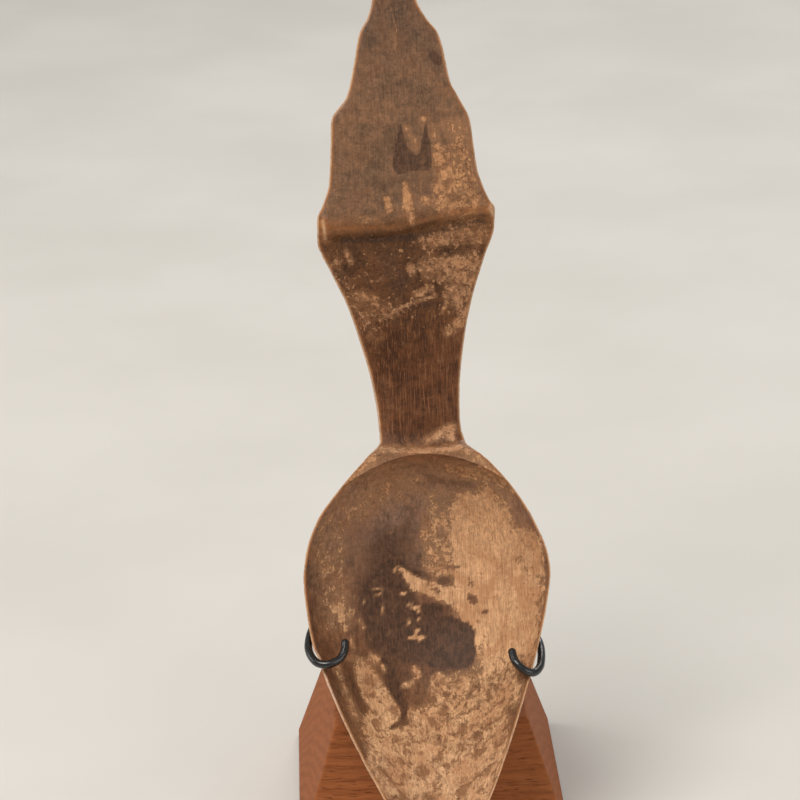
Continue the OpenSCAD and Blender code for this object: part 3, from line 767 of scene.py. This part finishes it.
def brass_material():
    """Aged brass: drawn lines along the rods, and a brown bloom in patches."""
    p = Paint("Aged_Brass", Metallic=1.0)
    spot = p.position()
    bloom = p.noise(spot, 0.22, 6, 0.65, 0.5)
    lines = p.noise(p.stretched(spot, (5, 5, 0.3)), 1.4, 4, 0.6)
    specks = p.noise(spot, 2.2, 5, 0.7)
    colour = p.mix(p.step(bloom, 0.42, 0.68), srgb(202, 160, 88), srgb(132, 92, 48))
    colour = p.mix(p.step(specks, 0.6, 0.74, 0, 0.6), colour, srgb(82, 58, 34))
    rough = p.add(p.step(bloom, 0.4, 0.7, 0.26, 0.46), p.step(lines, 0.3, 0.7, -0.04, 0.08))
    return p.finish(Base_Color=colour, Roughness=rough, Normal=p.bump(lines, 0.00003, 0.5))


def sleeve_material():
    """Thin black plastic sleeving, glossy, with faint drawn wrinkles and dust."""
    p = Paint("Black_Sleeving", Coat_Weight=0.3, Coat_Roughness=0.12, Specular_IOR_Level=0.6)
    spot = p.position()
    wrinkles = p.noise(spot, 1.3, 4, 0.6, 0.6)
    dust = p.noise(spot, 4.5, 6, 0.7)
    colour = p.mix(p.step(dust, 0.54, 0.8, 0, 0.4), srgb(13, 14, 15), srgb(54, 52, 50))
    rough = p.add(p.step(wrinkles, 0.3, 0.7, 0.2, 0.36), p.step(dust, 0.5, 0.8, 0, 0.2))
    return p.finish(Base_Color=colour, Roughness=rough, Normal=p.bump(wrinkles, 0.00006, 0.6))


def floor_material():
    """Plain pale matt floor."""
    p = Paint("Pale_Floor", Specular_IOR_Level=0.3)
    spot = p.position()
    tone = p.noise(spot, 0.01, 4, 0.5)
    colour = p.mix(p.step(tone, 0.3, 0.7), srgb(214, 211, 205), srgb(220, 217, 212))
    return p.finish(Base_Color=colour, Roughness=p.step(tone, 0.3, 0.7, 0.62, 0.72))


# The material of each slot in the record
finishes = {
    "carved_antler": antler_material(),
    "plinth_wood": wood_material(),
    "black_felt": felt_material(),
    "brass": brass_material(),
    "black_sleeve": sleeve_material(),
}


def add_piece(name, shape, slot, body, node):
    """A smooth closed piece that rides on a CAD body and stands for a CAD node."""
    points, faces = shape
    mesh = bpy.data.meshes.new(name)
    mesh.from_pydata([tuple(point) for point in np.asarray(points) * MM], [], faces)
    work = bmesh.new()
    work.from_mesh(mesh)
    bmesh.ops.recalc_face_normals(work, faces=work.faces)
    work.to_mesh(mesh)
    work.free()
    mesh.polygons.foreach_set("use_smooth", [True] * len(mesh.polygons))
    mesh.materials.append(finishes[slot])
    piece = bpy.data.objects.new(name, mesh)
    bpy.context.scene.collection.objects.link(piece)
    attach(piece, body)
    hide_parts(node)
    return piece


# ---- Spoon
FRONT_STEPS = 128
BACK_STEPS = 84
# The share of the front's points, out from its middle, that lies in the hollow
RIM_SHARE = 0.84
# Heights of the rings, closer over the ledge, over the cross ridge and at the rounded ends
RING_GAP = 0.62
LEDGE_GAP = 0.16
RIDGE_GAP = 0.26
LEDGE_LOW, LEDGE_HIGH = 42, 49
RIDGE_LOW, RIDGE_HIGH = 92, 100
TIP_LENGTH = 8
TOP_LENGTH = 4
ring_heights = np.concatenate([
    BOWL_TIP + TIP_LENGTH * np.linspace(0, 1, 30) ** 1.8,
    np.arange(BOWL_TIP + TIP_LENGTH + 0.6, LEDGE_LOW, RING_GAP),
    np.arange(LEDGE_LOW, LEDGE_HIGH, LEDGE_GAP),
    np.arange(LEDGE_HIGH, RIDGE_LOW, RING_GAP),
    np.arange(RIDGE_LOW, RIDGE_HIGH, RIDGE_GAP),
    np.arange(RIDGE_HIGH, HANDLE_TOP - TOP_LENGTH, RING_GAP),
    HANDLE_TOP - TOP_LENGTH * np.linspace(1, 0, 20) ** 1.6,
])


def spread(t, inner):
    """Spreads points over the width: most in the hollow, and the rest on its rim."""
    size = np.abs(t)
    middle = inner * np.sin(np.minimum(size, RIM_SHARE) / RIM_SHARE * math.pi / 2)
    rim = mixed(inner, 1, np.sin(np.clip((size - RIM_SHARE) / (1 - RIM_SHARE), 0, 1) * math.pi / 2))
    return np.sign(t) * np.where(size <= RIM_SHARE, middle, rim)


def spoon_ring(up):
    """One ring: across the front from left to right, and back behind it."""
    inner = hollow_half(up) / half_at(up) if hollow_half(up) > 0 else RIM_SHARE
    front_x = middle_at(up) + half_at(up) * spread(np.linspace(-1, 1, FRONT_STEPS + 1), inner)
    back_x = middle_at(up) + half_at(up) * np.cos(np.linspace(0, math.pi, BACK_STEPS + 1)[1:-1])
    return np.concatenate([front_x, back_x]), np.concatenate([front_at(up, front_x), back_at(up, back_x)])


def bent_point(up, x, out):
    """Carries a point round the forward curve of the lower bowl."""
    bend = max(0, CURVE_START - up)
    turn = math.atan(2 * CURVE_RATE * bend)
    return place(x, up + out * math.sin(turn), CURVE_RATE * bend * bend + out * math.cos(turn))


rings = []
spots = []
for up in ring_heights:
    ring_x, ring_out = spoon_ring(up)
    rings.append(np.array([bent_point(up, x, out) for x, out in zip(ring_x, ring_out)]))
    spots += [(x, up, out) for x, out in zip(ring_x, ring_out)]
spots = np.array(spots)
spoon_shape = loft(rings)
spoon = add_piece("spoon_carved", spoon_shape, "carved_antler", "spoon", "spoon")

spot_x = spots[:, 0]
spot_up = spots[:, 1]
on_front = np.tile(np.arange(FRONT_STEPS + BACK_STEPS) <= FRONT_STEPS, len(ring_heights))
spot_half = half_at(spot_up)
from_edge = spot_half * (1 - np.abs((spot_x - middle_at(spot_up)) / spot_half))

# A stroke's height is taken at the rim: on the floor of the lower bowl its mark sits higher
floor_lift = Curve((-38, 3.7), (-11, 3.7), (-1, 3.3), (5, 2.4), (8, 1.2), (14, 0), (163, 0))
paint_up = spot_up - floor_lift(spot_up) * smooth_step(0, 7, from_edge)
bare_front = painted(spot_x, paint_up, BARE_STROKES, PATINA_LEVEL)
bare_back = painted(spot_x, spot_up, BACK_STROKES, PATINA_LEVEL)
# Stain, and painted shade under the ridge's crest and the bowl's arc
stain_and_shade_front = painted(spot_x, paint_up, STAIN_AND_SHADE_STROKES, 0)
# Amber polish and painted highlights on the ridge's crest
amber_and_highlight_front = painted(spot_x, spot_up, AMBER_AND_HIGHLIGHT_STROKES, 0)
# Where the antler is porous, and where it is combed by scraping, along the spoon
pore_zone = Curve(
    (-38, 0.4), (-14, 0.45), (-4, 0.3), (4, 0.05), (30, 0.05), (70, 0), (76, 0.9), (95, 0.9), (98, 0.5),
    (112, 0.3), (128, 0), (163, 0),
)
comb_zone = Curve((-38, 0.3), (30, 0.5), (44, 0.4), (50, 1), (74, 1), (84, 0.3), (163, 0.35))

# Depths of the hand work and wear, and the width of the band along each edge that is nicked
WAVE_DEPTH = 0.1
SCRAPE_DEPTH = 0.035
PIT_DEPTH = 0.3
NICKED_W = 0.9
NICK_DEPTH = 0.28
WEAR_DEPTH = 0.1


def carved_relief():
    """How far hand work, wear and open pores have taken the surface in, in millimetres."""
    taken = np.zeros(len(spots))
    porous = pore_zone(spot_up) * smooth_step(PATINA_LEVEL, 0.1, bare_front)
    for i, (x, up, out) in enumerate(spots):
        waves = noise.noise(Vector((x / 11, up / 17, out / 9)))
        scrapes = noise.noise(Vector((x / 2.4 + 31, up / 34, out / 3)))
        taken[i] = WAVE_DEPTH + WAVE_DEPTH * waves + SCRAPE_DEPTH * scrapes
        if on_front[i] and porous[i] > 0.1:
            hole = noise.noise(Vector((x / 0.9 + 11, up / 1.1, 23)))
            taken[i] += PIT_DEPTH * porous[i] * max(0, hole - 0.12)
        if from_edge[i] < NICKED_W:
            side = 1 if x > 0 else -1
            nick = noise.noise(Vector((up / 1.5, side * 5, 3)))
            wear = noise.noise(Vector((up / 6, side * 9, 7)))
            near = 1 - from_edge[i] / NICKED_W
            taken[i] += near * (NICK_DEPTH * max(0, nick - 0.25) + WEAR_DEPTH * max(0, wear))
    return taken


normals = np.zeros(len(spots) * 3)
spoon.data.vertex_normals.foreach_get("vector", normals)
worn_points = spoon_shape[0] - normals.reshape(-1, 3) * carved_relief()[:, None]
spoon.data.vertices.foreach_set("co", (worn_points * MM).ravel())


def add_layer(name, values, kind="FLOAT", key="value"):
    """Stores one value for each point of the spoon, for its material to read."""
    layer = spoon.data.attributes.new(name, kind, "POINT")
    layer.data.foreach_set(key, np.asarray(values, np.float32).ravel())


opaque = np.ones((len(spots), 1))
# Nearness to the spoon's edge, which the material turns into amber polish and, nearest the edge, a painted
# highlight
edge_polish_and_highlight = np.where(on_front, smooth_step(1.3, 0.1, from_edge), 0.6 * smooth_step(0.6, 0, from_edge))
add_layer("place", spots, "FLOAT_VECTOR", "vector")
add_layer("patina", np.hstack([patina_colour(spot_up), opaque]), "FLOAT_COLOR", "color")
add_layer("bare_colour", np.hstack([bare_colour(spot_up), opaque]), "FLOAT_COLOR", "color")
add_layer("bare", np.where(on_front, bare_front, bare_back))
add_layer("stain_and_shade", np.where(on_front, stain_and_shade_front, 0))
# The edge layer: amber polish, with painted highlights where it is highest
add_layer("edge", np.maximum(edge_polish_and_highlight, np.where(on_front, amber_and_highlight_front, 0)))
add_layer("pores", pore_zone(spot_up))
add_layer("combed", comb_zone(spot_up))

# ---- Hooks and their sleeves
CURVE_STEPS = 12
WIRE_SIDES = 24
# The sleeve starts where this many stretches of the route have passed
BARE_STRETCHES = 3
SLEEVE_BORE = WIRE_R + SLEEVE_GAP
NOSE_TURNS = np.radians([15, 30, 45, 60, 72, 83])


def curve_through(points):
    """A smooth curve through given points."""
    padded = [points[0], *points, points[-1]]
    path = []
    for a, b, c, d in zip(padded, padded[1:], padded[2:], padded[3:]):
        for t in np.arange(CURVE_STEPS) / CURVE_STEPS:
            bend = 2 * a - 5 * b + 4 * c - d
            twist = 3 * b - a - 3 * c + d
            path.append(0.5 * (2 * b + (c - a) * t + bend * t * t + twist * t**3))
    return [*path, points[-1]]


def wire_rings(path, radii):
    """Rings round a path, carried along without twist, with a round nose at the far end."""
    last = len(path) - 1
    heads = [unit(path[min(last, i + 1)] - path[max(0, i - 1)]) for i in range(last + 1)]
    side = unit(np.array([0, 0, 1.0]) - heads[0][2] * heads[0])
    angles = np.linspace(0, 2 * math.pi, WIRE_SIDES, endpoint=False)[:, None]
    made = []
    for centre, head, radius in zip(path, heads, radii):
        side = unit(side - (side @ head) * head)
        wheel = np.cos(angles) * side + np.sin(angles) * np.cross(head, side)
        made.append(centre + radius * wheel)
    for turn in NOSE_TURNS:
        made.append(path[last] + radii[-1] * (math.sin(turn) * heads[last] + math.cos(turn) * wheel))
    return made


def arm_start(side):
    """The first two points of a hook's route, out of the hub."""
    return [
        np.array([side * (HUB_R - OVERLAP), STEM_Y, HUB_Z]),
        np.array([side * 9, STEM_Y - 1.2, HUB_Z + 0.4]),
    ]


# Each route runs behind the bowl to its edge, passes under the rim and ends in front of it
left_route = arm_start(-1) + [
    place(-19.5, 6, -18), place(-24.2, 6.8, -11.5), place(-26.4, 6, -6.6), place(-27.1, 5, -3.2),
    place(-27.6, 3.3, -1.2), place(-27.7, 1.7, 0.9), place(-27.1, 0.1, 3), place(-25.8, -1.2, 4.9),
    place(-23.8, -1.6, 5.8), place(-22, -1.2, 5.6), place(-20.4, -0.3, 4.8), place(-19.5, 1.3, 3.8),
    place(-19.3, 2.9, 2.7),
]
right_route = arm_start(1) + [
    place(17.5, 3.5, -18), place(22.6, 3.8, -11.5), place(24.6, 2.4, -6.4), place(25.4, 1, -3.2),
    place(25.7, -0.7, -0.9), place(25.5, -2.6, 1.8), place(24.9, -4.3, 4.2), place(23.4, -5.3, 6.3),
    place(21.4, -4.8, 7.2), place(19.8, -3.4, 6.8), place(19, -2.1, 5.7), place(18.7, -0.6, 4.4),
]
for side_name, route in (("left", left_route), ("right", right_route)):
    path = curve_through(route)
    hook_shape = loft(wire_rings(path, [WIRE_R] * len(path)))
    add_piece(side_name + "_hook_wire", hook_shape, "brass", "armature", side_name + "_hook")
    covered = path[BARE_STRETCHES * CURVE_STEPS:]
    outside = [SLEEVE_R] * len(covered)
    outside[0] = mixed(SLEEVE_BORE, SLEEVE_R, 0.6)
    bore = wire_rings(covered, [SLEEVE_BORE] * len(covered))
    sleeve_shape = loft([*reversed(bore), *wire_rings(covered, outside)])
    add_piece(side_name + "_sleeve_tube", sleeve_shape, "black_sleeve", "armature", side_name + "_sleeve")

# ---- Brass stand parts. The small steps at the ends of each outline are worn chamfers.
UPRIGHT = (0, 0, 1)
stem_low = PLINTH_TOP - SOCKET_H + FOOT_GAP
# The rest's face lies just behind the bowl, and its rod runs square to the spoon, to the stem
rest_out = float(back_at(REST_UP, 0)) - SPOON_GAP
rest_reach = (STEM_Y + HOLD_Y - REST_UP * math.sin(LEAN)) / math.cos(LEAN) + rest_out
rod_z = PLINTH_TOP + HOLD_H + REST_UP * math.cos(LEAN) + (rest_out - rest_reach) * math.sin(LEAN)
stem_length = rod_z + STEM_END - stem_low
stem_outline = [
    (0, STEM_R - 0.3), (0.3, STEM_R), *((at, STEM_R) for at in np.linspace(1, stem_length - 1, 24)),
    (stem_length - 0.35, STEM_R), (stem_length - 0.1, STEM_R - 0.12), (stem_length, STEM_R - 0.45),
]
stem_shape = turned((0, STEM_Y, stem_low), UPRIGHT, stem_outline)
add_piece("stem_rod", stem_shape, "brass", "armature", "stem")

hub_outline = [
    (0.35, STEM_R), (0, STEM_R + 0.3), (0, HUB_R - 0.4), (0.12, HUB_R - 0.12), (0.4, HUB_R),
    (HUB_H / 2, HUB_R), (HUB_H - 0.4, HUB_R), (HUB_H - 0.12, HUB_R - 0.12), (HUB_H, HUB_R - 0.4),
    (HUB_H, STEM_R + 0.3), (HUB_H - 0.35, STEM_R),
]
hub_shape = turned_tube((0, STEM_Y, HUB_Z - HUB_H / 2), UPRIGHT, hub_outline)
add_piece("arm_hub_collar", hub_shape, "brass", "armature", "arm_hub")

socket_outline = [
    (0, BORE_R), (0, SOCKET_R), (SOCKET_H - 0.25, SOCKET_R), (SOCKET_H - 0.05, SOCKET_R - 0.15),
    (SOCKET_H, SOCKET_R - 0.35), (SOCKET_H, BORE_R + 0.25), (SOCKET_H - 0.25, BORE_R),
]
socket_shape = turned_tube((0, STEM_Y, PLINTH_TOP - SOCKET_H), UPRIGHT, socket_outline)
add_piece("stem_socket_tube", socket_shape, "brass", "base", "stem_socket")

backward = -(place(0, 0, 1) - place(0, 0, 0))
rest_face = place(0, REST_UP, rest_out)
plate_back = PAD_H + PLATE_H
rest_outline = [
    (PAD_H, REST_R - 0.2), (PAD_H + 0.15, REST_R), (plate_back - 0.2, REST_R),
    (plate_back, REST_R - 0.25), (plate_back, ROD_R + 0.7), (plate_back + 0.2, ROD_R + 0.3),
    (plate_back + 0.7, ROD_R), (rest_reach / 2, ROD_R), (rest_reach, ROD_R),
]
add_piece("rest_arm_rod", turned(rest_face, backward, rest_outline), "brass", "armature", "rest_arm")

pad_outline = [
    (0.12, 0.6 * REST_R), (0.05, 0.86 * REST_R), (0.2, REST_R - 0.12), (0.45, REST_R),
    (PAD_H - 0.1, REST_R), (PAD_H, REST_R - 0.1),
]
add_piece("rest_pad_felt", turned(rest_face, backward, pad_outline), "black_felt", "armature", "rest_pad")

# ---- Plinth and its felt
EDGE_R = 0.55
CORNER_POINTS = 9
SIDE_STEPS = 40
QUARTER = math.pi / 2
EIGHTH = math.pi / 4


def square_ring(half, z, radius):
    """A square with rounded corners, starting at its right side."""
    reach = (half - radius) * math.sqrt(2)
    corners = []
    for turn in range(4):
        middle = turn * QUARTER + EIGHTH
        angles = middle + np.linspace(-EIGHTH, EIGHTH, CORNER_POINTS)
        centre = on_circle(reach, middle)
        corners += [centre + on_circle(radius, angle) for angle in angles]
        start = corners[-1]
        following = middle + QUARTER
        end = on_circle(reach, following) + on_circle(radius, following - EIGHTH)
        corners += [mixed(start, end, share) for share in np.arange(1, SIDE_STEPS) / SIDE_STEPS]
    return np.array([[x, y, z] for x, y in corners])


foot_half = PLINTH_W / 2
top_half = PLINTH_TOP_W / 2


def half_height(z):
    """Half of the plinth's width at a height."""
    return mixed(foot_half, top_half, (z - FELT_H) / PLINTH_H)


plinth_rings = [square_ring(half_height(FELT_H) - EDGE_R, FELT_H, EDGE_R)]
for z in (FELT_H + 0.12, FELT_H + 0.35, FELT_H + 0.8):
    plinth_rings.append(square_ring(half_height(z) - 0.3 * max(0, FELT_H + 0.5 - z), z, EDGE_R))
for z in np.linspace(FELT_H + 1.6, PLINTH_TOP - 1.2, 34):
    plinth_rings.append(square_ring(half_height(z), z, EDGE_R))
for inset, drop in ((0.02, 0.55), (0.12, 0.25), (0.32, 0.07), (0.62, 0)):
    plinth_rings.append(square_ring(top_half - inset, PLINTH_TOP - drop, EDGE_R))
# The top face runs in to the socket's bore, which goes straight down
outer_top = square_ring(top_half - 1.2, PLINTH_TOP, EDGE_R)
ring_angles = np.arctan2(outer_top[:, 1], outer_top[:, 0])
bore_x = SOCKET_R * np.cos(ring_angles)
bore_y = STEM_Y + SOCKET_R * np.sin(ring_angles)
bore_top = np.stack([bore_x, bore_y, np.full(len(ring_angles), PLINTH_TOP)], axis=1)
for share in (0, 0.25, 0.5, 0.75, 1):
    plinth_rings.append(mixed(outer_top, bore_top, share))
plinth_rings.append(bore_top - np.array([0, 0, SOCKET_H]))
add_piece("plinth_block", loft(plinth_rings), "plinth_wood", "base", "plinth")

felt_half = foot_half - FELT_INSET
fuzzy_rings = [square_ring(felt_half, z, 0.8) for z in (0.2, 0.5, 0.8)]
for ring in fuzzy_rings:
    for point in ring:
        point[:2] *= 1 - 0.004 * abs(noise.noise(Vector(point) / 1.4))
felt_low = square_ring(felt_half - 0.25, 0, 0.6)
felt_high = square_ring(felt_half - 0.15, FELT_H, 0.6)
add_piece("base_felt_sheet", loft([felt_low, *fuzzy_rings, felt_high]), "black_felt", "base", "base_felt")

# ---- Floor and soft studio light
FLOOR_HALF = 4
FLOOR_CELLS = 8
floor_mesh = bpy.data.meshes.new("Floor")
floor_work = bmesh.new()
bmesh.ops.create_grid(floor_work, x_segments=FLOOR_CELLS, y_segments=FLOOR_CELLS, size=FLOOR_HALF)
floor_work.to_mesh(floor_mesh)
floor_work.free()
floor_mesh.materials.append(floor_material())
floor = bpy.data.objects.new("Floor", floor_mesh)
bpy.context.scene.collection.objects.link(floor)

world = bpy.data.worlds.new("Studio")
world.use_nodes = True
background = world.node_tree.nodes["Background"]
background.inputs["Color"].default_value = (1, 0.985, 0.96, 1)
background.inputs["Strength"].default_value = 0.34
bpy.context.scene.world = world
bpy.context.scene.view_settings.view_transform = "Standard"


def add_light(name, at, aim, size, power, colour):
    """A round soft light, in metres and watts, turned toward a point."""
    lamp = bpy.data.lights.new(name, "AREA")
    lamp.shape = "DISK"
    lamp.size = size
    lamp.energy = power
    lamp.color = colour
    made = bpy.data.objects.new(name, lamp)
    made.location = at
    made.rotation_mode = "QUATERNION"
    made.rotation_quaternion = (Vector(aim) - Vector(at)).to_track_quat("-Z", "Y")
    bpy.context.scene.collection.objects.link(made)


add_light("Key", (-0.5, -0.45, 1.25), (0, 0, 0.09), 0.8, 12, (1, 0.96, 0.9))
add_light("Fill", (0.9, -0.9, 0.7), (0, 0, 0.09), 1.0, 4, (1, 0.97, 0.94))
add_light("Back", (0.3, 0.9, 0.9), (0, 0, 0.12), 0.6, 4, (1, 0.98, 0.95))
add_light("Side", (-1.1, 0.25, 0.5), (0, 0, 0.12), 0.5, 1.6, (1, 0.98, 0.95))
